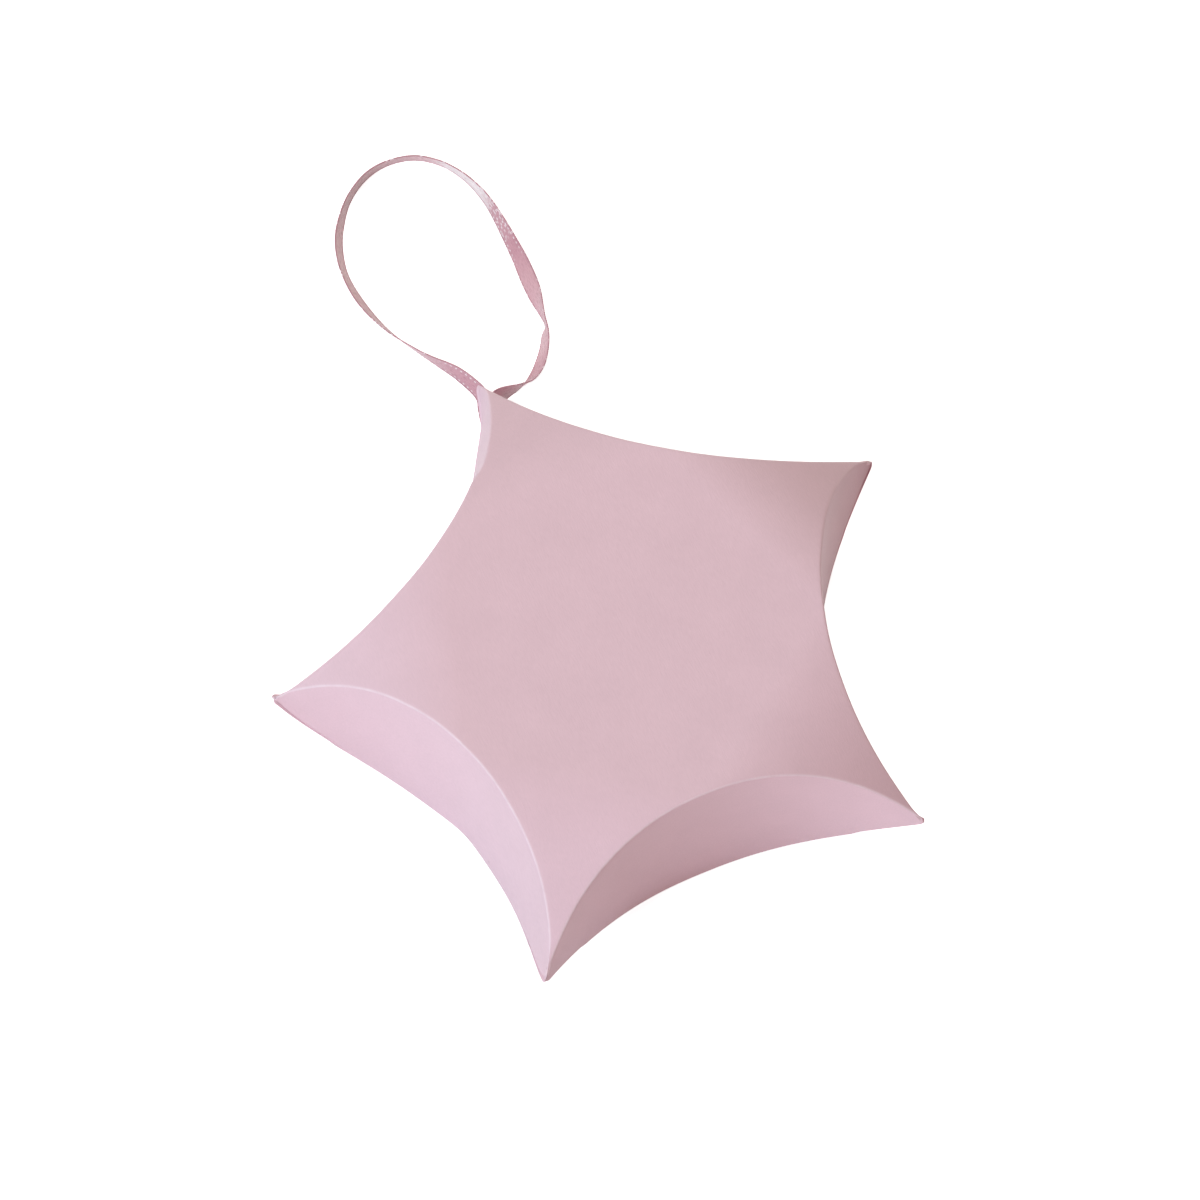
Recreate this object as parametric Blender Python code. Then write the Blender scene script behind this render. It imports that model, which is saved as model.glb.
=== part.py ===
"""Star favor box: a five-pointed pillow box folded from card, hung by a loop of narrow ribbon.

Metres, +Z up. The box lies on its back with the ribbon's point towards +Y, and the origin is
under its middle, on the surface that it rests on. Each side has a frame of its own: u runs
outwards from the box's middle through the middle of the side, and v along the side. A share
of a side runs from -1 to 1, from the tip of one point to the tip of the next.
"""
import math

import bmesh
import bpy
from mathutils import Matrix, Vector

# Box outline, to the outer faces of the card
POINT_COUNT = 5
TIP_REACH = 0.050
BOX_HEIGHT = 0.0274
TIP_HEIGHT = 0.0023
SIDE_SAG = 0.011
SIDE_CURVE_POWER = 2.4
ARM_BEND_POWER = 2.0

# Card, tape, and the clearance between neighbouring layers
CARD = 0.0004
TAPE = 0.0002
GAP = 0.0003

# Outer flaps: the closure flap's free edge springs out, most of all between middle and tips
FREE_EDGE_LIFT = 0.0004
CLOSURE_SPRING = 0.0014
CLOSURE_STRAIGHTENING = 0.0030
CLOSURE_TIP_SPRING_SHARE = 0.15

# Inner flaps and tape, as shares of a side and of the room between the panels
INNER_FLAP_END_SHARE = 0.72
SHOULDER_SHARE = 0.03
INNER_FLAP_HEIGHT_SHARE = 0.78
INNER_FLAP_END_CUT_SHARE = 0.60
INNER_FLAP_END_CUT_POWER = 6
TAPE_END_SHARE = 0.60
TAPE_LOW_SHARE = 0.16
TAPE_HIGH_SHARE = 0.40

# Ribbon, its hole in the back panel, and its knot inside
RIBBON_WIDTH = 0.0032
RIBBON_THICKNESS = 0.00025
RIBBON_STEP = 0.0015
RIBBON_HOLE_FROM_TIP = 0.011
RIBBON_HOLE_RADIUS = 0.0021
KNOT_SIZE = 0.0007
KNOT_HALF_HEIGHT = 0.0006
KNOT_STRAND_RADIUS = 0.0004
KNOT_TAIL = 0.0025
KNOT_OPEN_SHARE = 0.16

# How finely the curves are cut
PANEL_ROWS = 12
PANEL_TIP_ROWS = 6
WALL_COLUMNS = 32
HOLE_SEGMENTS = 24
KNOT_STEPS = 44

# Finishes
CARD_PINK = (0.80, 0.58, 0.65, 1)
CARD_PINK_INSIDE = (0.82, 0.62, 0.68, 1)
TAPE_CLEAR = (0.90, 0.88, 0.80, 1)
RIBBON_PINK = (0.72, 0.42, 0.50, 1)
CARD_ROUGHNESS = 0.65
TAPE_ROUGHNESS = 0.25
RIBBON_ROUGHNESS = 0.35
SHARP_ANGLE = math.radians(35)

# The ribbon's route from the knot, out of the hole, round the loop and back: x, y and z of the
# band's middle, then how far its width leans from upright to the left of its way, in degrees
RIBBON_ROUTE = (
    (0.0000, 0.0382, 0.0046, -90),
    (0.0000, 0.0392, 0.0029, -90),
    (0.0002, 0.0406, 0.0015, -90),
    (0.0006, 0.0430, 0.0008, -90),
    (0.0013, 0.0500, 0.0007, -76),
    (0.0017, 0.0532, 0.0009, -55),
    (0.0018, 0.0560, 0.0015, -25),
    (0.0001, 0.0602, 0.0016, -13),
    (-0.0024, 0.0639, 0.0016, 8),
    (-0.0042, 0.0668, 0.0016, 18),
    (-0.0068, 0.0718, 0.0015, 26),
    (-0.0084, 0.0776, 0.0015, 32),
    (-0.0087, 0.0834, 0.0015, 24),
    (-0.0075, 0.0883, 0.0015, 20),
    (-0.0054, 0.0920, 0.0015, 11),
    (-0.0027, 0.0951, 0.0016, 1),
    (0.0009, 0.0974, 0.0016, -6),
    (0.0048, 0.0982, 0.0016, -14),
    (0.0089, 0.0974, 0.0016, -16),
    (0.0121, 0.0950, 0.0016, -14),
    (0.0141, 0.0921, 0.0016, -8),
    (0.0154, 0.0889, 0.0016, 0),
    (0.0163, 0.0843, 0.0016, 12),
    (0.0166, 0.0760, 0.0013, 32),
    (0.0165, 0.0721, 0.0012, 42),
    (0.0163, 0.0685, 0.0013, 36),
    (0.0158, 0.0635, 0.0017, 0),
    (0.0150, 0.0615, 0.0016, 18),
    (0.0138, 0.0592, 0.0014, 29),
    (0.0118, 0.0566, 0.0013, 38),
    (0.0096, 0.0549, 0.0014, 32),
    (0.0078, 0.0544, 0.0017, 14),
    (0.0061, 0.0541, 0.0021, 0),
    (0.0046, 0.0537, 0.0026, -18),
    (0.0033, 0.0529, 0.0031, -48),
    (0.0022, 0.0513, 0.0034, -71),
    (0.0010, 0.0477, 0.0033, -86),
    (0.0003, 0.0428, 0.0030, -90),
    (0.0000, 0.0399, 0.0037, -90),
    (0.0000, 0.0390, 0.0051, -90),
)

# Sizes that follow from the ones above
HALF_STEP = math.pi / POINT_COUNT
TIP_HALF_WIDTH = CARD + GAP / 2
CORNER_U = TIP_REACH * math.cos(HALF_STEP) + TIP_HALF_WIDTH * math.sin(HALF_STEP)
CORNER_V = TIP_REACH * math.sin(HALF_STEP) - TIP_HALF_WIDTH * math.cos(HALF_STEP)
MIDDLE_U = CORNER_U - SIDE_SAG
FLAT_REACH = MIDDLE_U * math.cos(HALF_STEP)
TIP_DROP = (BOX_HEIGHT - TIP_HEIGHT) / 2
INNER_INSET = CARD + GAP
GLUED_INSET = INNER_INSET + TAPE + GAP
RIBBON_HOLE_REACH = TIP_REACH - RIBBON_HOLE_FROM_TIP

# The sides in turn, anticlockwise seen from the front
SIDES = ("right", "upper_right", "upper_left", "left", "bottom")
SPINE_SIDE = "upper_right"
CLOSURE_SIDE = "left"
GLUED_SIDES = ("right", "upper_left", "bottom")


def side_angle(side):
    """Direction of a side's middle; the point at +Y follows upper_right."""
    return math.pi / 2 + (2 * SIDES.index(side) - 3) * HALF_STEP


def to_world(side, u, v, z):
    angle = side_angle(side)
    x = u * math.cos(angle) - v * math.sin(angle)
    y = u * math.sin(angle) + v * math.cos(angle)
    return Vector((x, y, z))


def side_point(share, inset):
    """Plan place (u, v) at a share of a side, inset square to the box's edge."""
    u = MIDDLE_U + SIDE_SAG * abs(share) ** SIDE_CURVE_POWER
    steepness = SIDE_SAG * SIDE_CURVE_POWER * abs(share) ** (SIDE_CURVE_POWER - 1) / CORNER_V
    slope = math.copysign(steepness, share)
    length = math.hypot(1, slope)
    return u - inset / length, CORNER_V * share + inset * slope / length


def reach_along_arm(u, v):
    return u * math.cos(HALF_STEP) + abs(v) * math.sin(HALF_STEP)


def distance_from_arm_line(u, v):
    return u * math.sin(HALF_STEP) - abs(v) * math.cos(HALF_STEP)


def last_share(inset, clearance):
    """How far along a side an inset line runs before it comes within clearance of the arm's line."""
    low, high = 0.0, 1.0
    if distance_from_arm_line(*side_point(high, inset)) >= clearance:
        return high
    for _ in range(40):
        middle = (low + high) / 2
        if distance_from_arm_line(*side_point(middle, inset)) >= clearance:
            low = middle
        else:
            high = middle
    return low


def arm_drop_at(reach):
    """How far a panel has bent from its flat middle, and its slope, at a reach along an arm."""
    length = TIP_REACH - FLAT_REACH
    share = max(0.0, (reach - FLAT_REACH) / length)
    drop = TIP_DROP * share ** ARM_BEND_POWER
    return drop, TIP_DROP * ARM_BEND_POWER * share ** (ARM_BEND_POWER - 1) / length


def arm_drop(u, v):
    return arm_drop_at(reach_along_arm(u, v))[0]


def card_rise(u, v):
    """Upright thickness of the bent card."""
    return CARD * math.hypot(1, arm_drop_at(reach_along_arm(u, v))[1])


def front_face(u, v):
    return BOX_HEIGHT - arm_drop(u, v)


def back_face(u, v):
    return arm_drop(u, v)


def under_front(u, v):
    return front_face(u, v) - card_rise(u, v) - GAP


def over_back(u, v):
    return back_face(u, v) + card_rise(u, v) + GAP


def material(name, color, roughness):
    made = bpy.data.materials.new(name)
    made.use_nodes = True
    shader = made.node_tree.nodes["Principled BSDF"]
    shader.inputs["Base Color"].default_value = color
    shader.inputs["Roughness"].default_value = roughness
    shader.inputs["Metallic"].default_value = 0.0
    return made


def add_body(name, verts, faces, color, roughness):
    """One closed body, its faces turned outwards and its curves shaded smooth."""
    mesh = bpy.data.meshes.new(name)
    mesh.from_pydata(verts, [], faces)
    shape = bmesh.new()
    shape.from_mesh(mesh)
    bmesh.ops.recalc_face_normals(shape, faces=shape.faces)
    shape.to_mesh(mesh)
    shape.free()
    mesh.shade_smooth()
    mesh.set_sharp_from_angle(angle=SHARP_ANGLE)
    mesh.materials.append(material(name, color, roughness))
    body = bpy.data.objects.new(name, mesh)
    bpy.context.scene.collection.objects.link(body)
    return body


def panel_rows():
    """Shares of a side where a panel has its rows, two of them beside the inner flaps' ends."""
    rows = [INNER_FLAP_END_SHARE * row / PANEL_ROWS for row in range(PANEL_ROWS + 1)]
    start = INNER_FLAP_END_SHARE + SHOULDER_SHARE
    rows += [start + (1 - start) * row / PANEL_TIP_ROWS for row in range(PANEL_TIP_ROWS + 1)]
    return rows


def panel_corner(side, sign, share, inset, is_front):
    """The outer and inner corner of a panel's edge, one card apart square to its bent face."""
    u, v = side_point(sign * share, inset)
    drop, slope = arm_drop_at(reach_along_arm(u, v))
    length = math.hypot(1, slope)
    shift = CARD * slope / length
    inner_u = u - shift * math.cos(HALF_STEP)
    inner_v = v - sign * shift * math.sin(HALF_STEP)
    if is_front:
        outer_z = BOX_HEIGHT - drop
        inner_z = outer_z - CARD / length
    else:
        outer_z = drop
        inner_z = outer_z + CARD / length
    return to_world(side, u, v, outer_z), to_world(side, inner_u, inner_v, inner_z)


def panel(name, is_front, inset_at):
    """A five-armed sheet, flat in the middle, with each arm bent straight across to its tip."""
    rows = panel_rows()
    last = len(rows) - 1
    verts = []
    corner = {}
    for side in SIDES:
        reach = last_share(inset_at(side, 1.0), GAP / 2)
        for sign in (-1, 1):
            for row, row_share in enumerate(rows):
                if row == 0 and sign == 1:
                    corner[side, 1, 0] = corner[side, -1, 0]
                    continue
                share = row_share * reach
                corner[side, sign, row] = len(verts)
                verts.extend(panel_corner(side, sign, share, inset_at(side, share), is_front))
    faces = [[corner[side, 1, 0] + layer for side in SIDES] for layer in (0, 1)]
    for number, side in enumerate(SIDES):
        following = SIDES[(number + 1) % POINT_COUNT]
        for row in range(last):
            near_a, far_a = corner[side, 1, row], corner[side, 1, row + 1]
            near_b, far_b = corner[following, -1, row], corner[following, -1, row + 1]
            for layer in (0, 1):
                faces.append([near_a + layer, far_a + layer, far_b + layer, near_b + layer])
            faces.append([near_a, far_a, far_a + 1, near_a + 1])
            faces.append([near_b, far_b, far_b + 1, near_b + 1])
        end_a, end_b = corner[side, 1, last], corner[following, -1, last]
        faces.append([end_a, end_b, end_b + 1, end_a + 1])
    return add_body(name, verts, faces, CARD_PINK, CARD_ROUGHNESS)


def front_inset(side, share):
    """The front panel covers the walls, and stops inside the closure flap, which folds from it."""
    return INNER_INSET if side == CLOSURE_SIDE else 0.0


def back_inset(side, share):
    """The back panel steps in where an inner flap rises from it, and covers the walls elsewhere."""
    if side == SPINE_SIDE or share > INNER_FLAP_END_SHARE:
        return 0.0
    return INNER_INSET


def stands_upright(share):
    return 0.0


def springs_out(share):
    """How far the closure flap's free edge stands out, little of it at its tips."""
    held_share = (1 - CLOSURE_TIP_SPRING_SHARE) * share ** 4
    return (CLOSURE_SPRING + CLOSURE_STRAIGHTENING * share ** 2) * (1 - held_share)


def wall(name, side, inset, thickness, end_share, low_at, high_at, color, roughness,
         stand_out_at=stands_upright):
    """A strip of card or tape that stands along a side, between a low and a high height rule."""
    verts = []
    for column in range(WALL_COLUMNS + 1):
        share = end_share * (2 * column / WALL_COLUMNS - 1)
        for depth in (inset, inset + thickness):
            u, v = side_point(share, depth)
            verts.append(to_world(side, u + stand_out_at(share), v, low_at(share, u, v)))
            verts.append(to_world(side, u, v, high_at(share, u, v)))
    faces = [[0, 1, 3, 2]]
    for column in range(WALL_COLUMNS):
        near = 4 * column
        far = near + 4
        for a, b in ((0, 1), (1, 3), (3, 2), (2, 0)):
            faces.append([near + a, near + b, far + b, far + a])
    end = 4 * WALL_COLUMNS
    faces.append([end, end + 1, end + 3, end + 2])
    return add_body(name, verts, faces, color, roughness)


def free_edge(share, u, v):
    """Lower edge of an outer flap: just off the back fold, and over the back panel at the tips."""
    if abs(share) < INNER_FLAP_END_SHARE:
        return back_face(u, v) + FREE_EDGE_LIFT
    return over_back(u, v)


def crease_edge(share, u, v):
    return front_face(u, v)


def wall_level(level_share):
    """Height rule at a share of the room between the two panels."""
    return lambda share, u, v: over_back(u, v) + level_share * (under_front(u, v) - over_back(u, v))


def inner_flap_top(share, u, v):
    cut = INNER_FLAP_END_CUT_SHARE * abs(share / INNER_FLAP_END_SHARE) ** INNER_FLAP_END_CUT_POWER
    return wall_level(INNER_FLAP_HEIGHT_SHARE * (1 - cut))(share, u, v)


def outer_flap(name, side):
    return wall(name, side, 0.0, CARD, 1.0, free_edge, wall_level(1), CARD_PINK, CARD_ROUGHNESS)


def inner_flap(name, side, inset):
    return wall(name, side, inset, CARD, INNER_FLAP_END_SHARE, wall_level(0), inner_flap_top,
                CARD_PINK_INSIDE, CARD_ROUGHNESS)


def tape_strip(name, side):
    return wall(name, side, INNER_INSET, TAPE, TAPE_END_SHARE, wall_level(TAPE_LOW_SHARE),
                wall_level(TAPE_HIGH_SHARE), TAPE_CLEAR, TAPE_ROUGHNESS)


def hinge_on_fold(flap, name, u, z):
    """Hang a flap on an empty whose local Y is the straight axis that the flap swings about."""
    fold = bpy.data.objects.new(name, None)
    fold.location = to_world(CLOSURE_SIDE, u, 0, z)
    fold.rotation_euler = (0, 0, side_angle(CLOSURE_SIDE))
    bpy.context.scene.collection.objects.link(fold)
    flap.data.transform(fold.matrix_basis.inverted())
    flap.parent = fold


def ribbon_hole_matrix():
    """Frame on the back panel's outer face at the ribbon's hole, with Z square into the box."""
    height, slope = arm_drop_at(RIBBON_HOLE_REACH)
    inward = Vector((0, -slope, 1)).normalized()
    place = Matrix.Translation((0, RIBBON_HOLE_REACH, height))
    return place @ inward.to_track_quat("Z", "Y").to_matrix().to_4x4()


def punch_ribbon_hole(sheet):
    mesh = bpy.data.meshes.new("ribbon_hole_cutter")
    shape = bmesh.new()
    bmesh.ops.create_cone(shape, cap_ends=True, segments=HOLE_SEGMENTS, radius1=RIBBON_HOLE_RADIUS,
                          radius2=RIBBON_HOLE_RADIUS, depth=RIBBON_HOLE_RADIUS)
    shape.to_mesh(mesh)
    shape.free()
    cutter = bpy.data.objects.new("ribbon_hole_cutter", mesh)
    cutter.matrix_world = ribbon_hole_matrix()
    cutter.hide_render = True
    cutter.display_type = "WIRE"
    bpy.context.scene.collection.objects.link(cutter)
    cut = sheet.modifiers.new("ribbon_hole", "BOOLEAN")
    cut.operation = "DIFFERENCE"
    cut.object = cutter


def curve_value(before, start, end, after, share):
    """Value of the smooth curve through four neighbours, between start and end."""
    return 0.5 * (2 * start + (end - before) * share
                  + (2 * before - 5 * start + 4 * end - after) * share ** 2
                  + (3 * start - before - 3 * end + after) * share ** 3)


def ribbon_stations():
    """Steps along the route: the band's middle, its way and the direction of its width."""
    last = len(RIBBON_ROUTE) - 1
    values = []
    for number in range(last):
        near = [RIBBON_ROUTE[max(0, min(number + offset, last))] for offset in (-1, 0, 1, 2)]
        steps = max(1, round(math.dist(near[1][:3], near[2][:3]) / RIBBON_STEP))
        for step in range(steps):
            values.append([curve_value(*column, step / steps) for column in zip(*near)])
    values.append(list(RIBBON_ROUTE[last]))
    stations = []
    for number, (x, y, z, lean_degrees) in enumerate(values):
        before = Vector(values[max(number - 1, 0)][:3])
        after = Vector(values[min(number + 1, len(values) - 1)][:3])
        way = (after - before).normalized()
        left = Vector((0, 0, 1)).cross(way).normalized()
        lean = math.radians(lean_degrees)
        width = way.cross(left) * math.cos(lean) + left * math.sin(lean)
        half_rise = (RIBBON_WIDTH * abs(width.z) + RIBBON_THICKNESS * abs(way.cross(width).z)) / 2
        stations.append((Vector((x, y, max(z, half_rise))), way, width))
    return stations


def ribbon_loop():
    """A flat band along the route, no lower than the surface that the box lies on."""
    verts = []
    for middle, way, width in ribbon_stations():
        through = way.cross(width)
        for across, out in ((-1, -1), (1, -1), (1, 1), (-1, 1)):
            edge = width * (across * RIBBON_WIDTH / 2)
            verts.append(middle + edge + through * (out * RIBBON_THICKNESS / 2))
    faces = [[0, 1, 2, 3]]
    for near in range(0, len(verts) - 4, 4):
        for a, b in ((0, 1), (1, 2), (2, 3), (3, 0)):
            faces.append([near + a, near + b, near + b + 4, near + a + 4])
    end = len(verts) - 4
    faces.append([end, end + 1, end + 2, end + 3])
    return add_body("ribbon_loop", verts, faces, RIBBON_PINK, RIBBON_ROUGHNESS)


def knot_places():
    """An overhand knot as a line: a trefoil with one lobe left open, where its tails cross."""
    places = []
    for step in range(KNOT_STEPS + 1):
        turn_share = KNOT_OPEN_SHARE / 2 + (1 - KNOT_OPEN_SHARE) * step / KNOT_STEPS
        angle = math.pi + 2 * math.pi * turn_share
        x = KNOT_SIZE * (math.sin(angle) + 2 * math.sin(2 * angle))
        y = KNOT_SIZE * (math.cos(angle) - 2 * math.cos(2 * angle))
        places.append(Vector((x, y, -KNOT_HALF_HEIGHT * math.sin(3 * angle))))
    places.insert(0, places[0] + (places[0] - places[1]).normalized() * KNOT_TAIL)
    places.append(places[-1] + (places[-1] - places[-2]).normalized() * KNOT_TAIL)
    return places


def ribbon_knot():
    """The knot that keeps both strands from pulling out, seated over their ends."""
    curve = bpy.data.curves.new("ribbon_knot", "CURVE")
    curve.dimensions = "3D"
    curve.bevel_depth = KNOT_STRAND_RADIUS
    curve.bevel_resolution = 1
    curve.use_fill_caps = True
    places = knot_places()
    line = curve.splines.new("POLY")
    line.points.add(len(places) - 1)
    for point, place in zip(line.points, places):
        point.co = (place.x, place.y, place.z, 1)
    curve.materials.append(material("ribbon_knot", RIBBON_PINK, RIBBON_ROUGHNESS))
    hole = ribbon_hole_matrix()
    strand_end = (hole.inverted() @ Vector(RIBBON_ROUTE[-1][:3])).z
    seat = strand_end + GAP + KNOT_HALF_HEIGHT + KNOT_STRAND_RADIUS
    knot = bpy.data.objects.new("ribbon_knot", curve)
    knot.matrix_world = hole @ Matrix.Translation((0, 0, seat))
    bpy.context.scene.collection.objects.link(knot)


for old in list(bpy.data.objects):
    bpy.data.objects.remove(old, do_unlink=True)

panel("front_panel", True, front_inset)
punch_ribbon_hole(panel("back_panel", False, back_inset))
wall("spine_wall", SPINE_SIDE, 0.0, CARD, 1.0, wall_level(0), wall_level(1), CARD_PINK,
     CARD_ROUGHNESS)

for side in GLUED_SIDES:
    outer_flap("outer_flap_" + side, side)
    tape_strip("tape_strip_" + side, side)
    inner_flap("inner_flap_" + side, side, GLUED_INSET)

closure_flap = wall("closure_flap", CLOSURE_SIDE, 0.0, CARD, 1.0, free_edge, crease_edge,
                    CARD_PINK, CARD_ROUGHNESS, springs_out)
hinge_on_fold(closure_flap, "closure_fold", MIDDLE_U, BOX_HEIGHT)
tuck_flap = inner_flap("tuck_flap", CLOSURE_SIDE, INNER_INSET)
hinge_on_fold(tuck_flap, "tuck_fold", MIDDLE_U - INNER_INSET - CARD, CARD + GAP)

ribbon_loop()
ribbon_knot()
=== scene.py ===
# Star favor box: a five-pointed pillow box folded from pink card, with a loop of satin ribbon
import math

import bmesh
import bpy
from mathutils import Matrix, Vector


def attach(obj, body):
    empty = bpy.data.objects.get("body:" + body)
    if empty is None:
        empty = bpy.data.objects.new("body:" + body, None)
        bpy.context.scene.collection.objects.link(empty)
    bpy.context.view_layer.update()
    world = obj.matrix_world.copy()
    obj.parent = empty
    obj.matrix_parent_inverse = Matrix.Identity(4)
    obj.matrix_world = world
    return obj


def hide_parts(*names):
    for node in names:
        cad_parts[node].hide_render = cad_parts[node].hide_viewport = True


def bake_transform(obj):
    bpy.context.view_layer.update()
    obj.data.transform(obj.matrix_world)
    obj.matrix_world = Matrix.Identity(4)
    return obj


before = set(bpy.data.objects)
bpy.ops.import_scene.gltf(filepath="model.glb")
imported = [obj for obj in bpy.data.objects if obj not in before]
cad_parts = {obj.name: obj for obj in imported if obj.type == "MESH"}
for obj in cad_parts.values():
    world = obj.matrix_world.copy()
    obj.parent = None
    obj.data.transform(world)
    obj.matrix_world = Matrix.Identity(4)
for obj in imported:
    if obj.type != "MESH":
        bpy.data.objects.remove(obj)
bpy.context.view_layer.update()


# Card stock
# The whole box is one kind of matte pink card, about 0.4 mm thick and dyed through, with short
# fibres in its face, a soft cloudiness and a few dark flecks. The creases are painted paler,
# partly as folding wear and partly as a painted highlight where light catches each fold.
CARD_THICKNESS = 0.0004
CARD_COLOUR = (0.80, 0.59, 0.67, 1)
CARD_INSIDE_COLOUR = (0.82, 0.62, 0.69, 1)
CARD_EDGE_COLOUR = (0.84, 0.66, 0.72, 1)
# Crease colour: part folding wear, part painted highlight on the lit folds.
CREASE_WEAR_AND_HIGHLIGHT_COLOUR = (0.95, 0.81, 0.88, 1)
CREASE_PATCH_SCALE = (420.0, 420.0, 420.0)
CARD_ROUGHNESS = 0.62
ROUGHNESS_CHANGE = 0.06
CARD_GLOSS = {"Specular IOR Level": 0.5, "Sheen Weight": 0.08}
CLOUD_SCALE = (160.0, 160.0, 160.0)
FIBRE_SCALE = (5200.0, 900.0, 2600.0)
FIBRE_TILT = (0.3, 0.2)
FIBRE_TURNS = (0.35, -0.9, 1.75)
FIBRE_DEPTH = 0.00004
FIBRE_RELIEF = 0.35
FELT_LOW = 1.1
FELT_HIGH = 1.9
FLECK_COLOUR = (0.42, 0.28, 0.32, 1)
FLECK_SCALE = 75.0
FLECK_CORE = 0.008
FLECK_REACH = 0.018
FLECKLESS_SHARE = 0.55


def feed(node, links):
    """Gives a node's inputs, by name or number, a value or another node's socket."""
    for name, value in links.items():
        if isinstance(value, TreeNumber):
            value = value.socket
        if isinstance(value, bpy.types.NodeSocket):
            node.id_data.links.new(value, node.inputs[name])
        else:
            node.inputs[name].default_value = value


def add_node(tree, kind, links={}, **settings):
    node = tree.nodes.new(kind)
    for name, value in settings.items():
        setattr(node, name, value)
    feed(node, links)
    return node


class TreeNumber:
    """A number in a node tree. Sums with it add Math nodes, so a formula is written only once."""

    def __init__(self, tree, socket):
        self.tree = tree
        self.socket = socket

    def math(self, operation, *others):
        node = add_node(self.tree, "ShaderNodeMath", dict(enumerate((self, *others))),
                        operation=operation)
        return TreeNumber(self.tree, node.outputs[0])

    def mapped(self, low, high, to_low, to_high):
        """Carried over from one range to another, and held inside it."""
        node = add_node(self.tree, "ShaderNodeMapRange",
                        {"Value": self, "From Min": low, "From Max": high,
                         "To Min": to_low, "To Max": to_high})
        return TreeNumber(self.tree, node.outputs[0])

    def __add__(self, other):
        return self.math("ADD", other)

    def __mul__(self, other):
        return self.math("MULTIPLY", other)

    def __sub__(self, other):
        return self.math("SUBTRACT", other)

    def __rsub__(self, other):
        return self.math("MULTIPLY_ADD", -1.0, other)

    def __truediv__(self, other):
        return self.math("DIVIDE", other)

    def __pow__(self, other):
        return self.math("POWER", other)

    __radd__ = __add__
    __rmul__ = __mul__


def noise(tree, place, scale, turn=(0, 0, 0), detail=2.0, roughness=0.5):
    """Noise over a place, with its own scale along each axis."""
    laid = add_node(tree, "ShaderNodeMapping", {"Vector": place, "Rotation": turn, "Scale": scale})
    grain = add_node(tree, "ShaderNodeTexNoise", {"Vector": laid.outputs[0], "Scale": 1.0,
                                                  "Detail": detail, "Roughness": roughness})
    return TreeNumber(tree, grain.outputs["Fac"])


def mixed(tree, share, first, second):
    """The colour between two colours."""
    mix = add_node(tree, "ShaderNodeMix", {0: share, 6: first, 7: second}, data_type="RGBA")
    return mix.outputs[2]


def start_group(kind, name, inputs, outputs):
    """A node group with its named sockets; returns the tree, its input and its output."""
    tree = bpy.data.node_groups.new(name, kind + "NodeTree")
    for in_out, sockets in (("INPUT", inputs), ("OUTPUT", outputs)):
        for socket_name, socket_kind in sockets.items():
            tree.interface.new_socket(socket_name, in_out=in_out,
                                      socket_type="NodeSocket" + socket_kind)
    return tree, tree.nodes.new("NodeGroupInput"), tree.nodes.new("NodeGroupOutput")


def start_material(name, gloss={}):
    """A new material; returns it, its tree and its shader with constants set."""
    made = bpy.data.materials.new(name)
    made.use_nodes = True
    shader = made.node_tree.nodes["Principled BSDF"]
    feed(shader, gloss)
    return made, made.node_tree, shader


def card_fibre_group():
    """Cloudiness, crossing fibres and rare flecks over the card's face."""
    tree, given, made = start_group(
        "Shader", "card_fibre", {"Place": "Vector", "Colour": "Color", "Flecks": "Float"},
        {"Colour": "Color", "Roughness": "Float", "Height": "Float"})
    place = given.outputs["Place"]
    cloud = noise(tree, place, CLOUD_SCALE, detail=3.0)
    felt = sum(noise(tree, place, FIBRE_SCALE, (*FIBRE_TILT, turn), roughness=0.6)
               for turn in FIBRE_TURNS)
    tone = felt.mapped(FELT_LOW, FELT_HIGH, 0.975, 1.025) * cloud.mapped(0.3, 0.7, 0.985, 1.015)
    toned = add_node(tree, "ShaderNodeVectorMath", {0: given.outputs["Colour"], "Scale": tone},
                     operation="SCALE")
    cells = add_node(tree, "ShaderNodeTexVoronoi", {"Vector": place, "Scale": FLECK_SCALE})
    dot = TreeNumber(tree, cells.outputs["Distance"]).mapped(FLECK_CORE, FLECK_REACH, 1.0, 0.0)
    chance = add_node(tree, "ShaderNodeSeparateColor", {"Color": cells.outputs["Color"]})
    rare = TreeNumber(tree, chance.outputs[0]).math("GREATER_THAN", FLECKLESS_SHARE)
    fleck = dot * rare * TreeNumber(tree, given.outputs["Flecks"])
    rough = felt.mapped(FELT_LOW, FELT_HIGH, CARD_ROUGHNESS + ROUGHNESS_CHANGE,
                        CARD_ROUGHNESS - ROUGHNESS_CHANGE)
    feed(made, {"Colour": mixed(tree, fleck, toned.outputs[0], FLECK_COLOUR),
                "Roughness": rough, "Height": felt})
    return tree


card_fibre = card_fibre_group()


def card_material(name, colour, flecks, depth):
    """Card with its fibres raised a little, paler at folds by wear and a painted highlight."""
    made, tree, shader = start_material(name, CARD_GLOSS)
    place = add_node(tree, "ShaderNodeTexCoord").outputs["Object"]
    # The fold attribute mixes in the crease colour, as wear and as a painted highlight.
    fold = add_node(tree, "ShaderNodeAttribute", attribute_name="fold_wear_and_highlight")
    crease_patches = noise(tree, place, CREASE_PATCH_SCALE, detail=4.0).mapped(0.3, 0.7, 0.6, 1.1)
    base = mixed(tree, TreeNumber(tree, fold.outputs["Fac"]) * crease_patches, colour, CREASE_WEAR_AND_HIGHLIGHT_COLOUR)
    fibre = add_node(tree, "ShaderNodeGroup",
                     {"Place": place, "Colour": base, "Flecks": flecks}, node_tree=card_fibre)
    raised = add_node(tree, "ShaderNodeBump", {"Height": fibre.outputs["Height"],
                                               "Strength": FIBRE_RELIEF, "Distance": depth})
    feed(shader, {"Base Color": fibre.outputs["Colour"], "Normal": raised.outputs[0],
                  "Roughness": fibre.outputs["Roughness"]})
    return made


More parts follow.
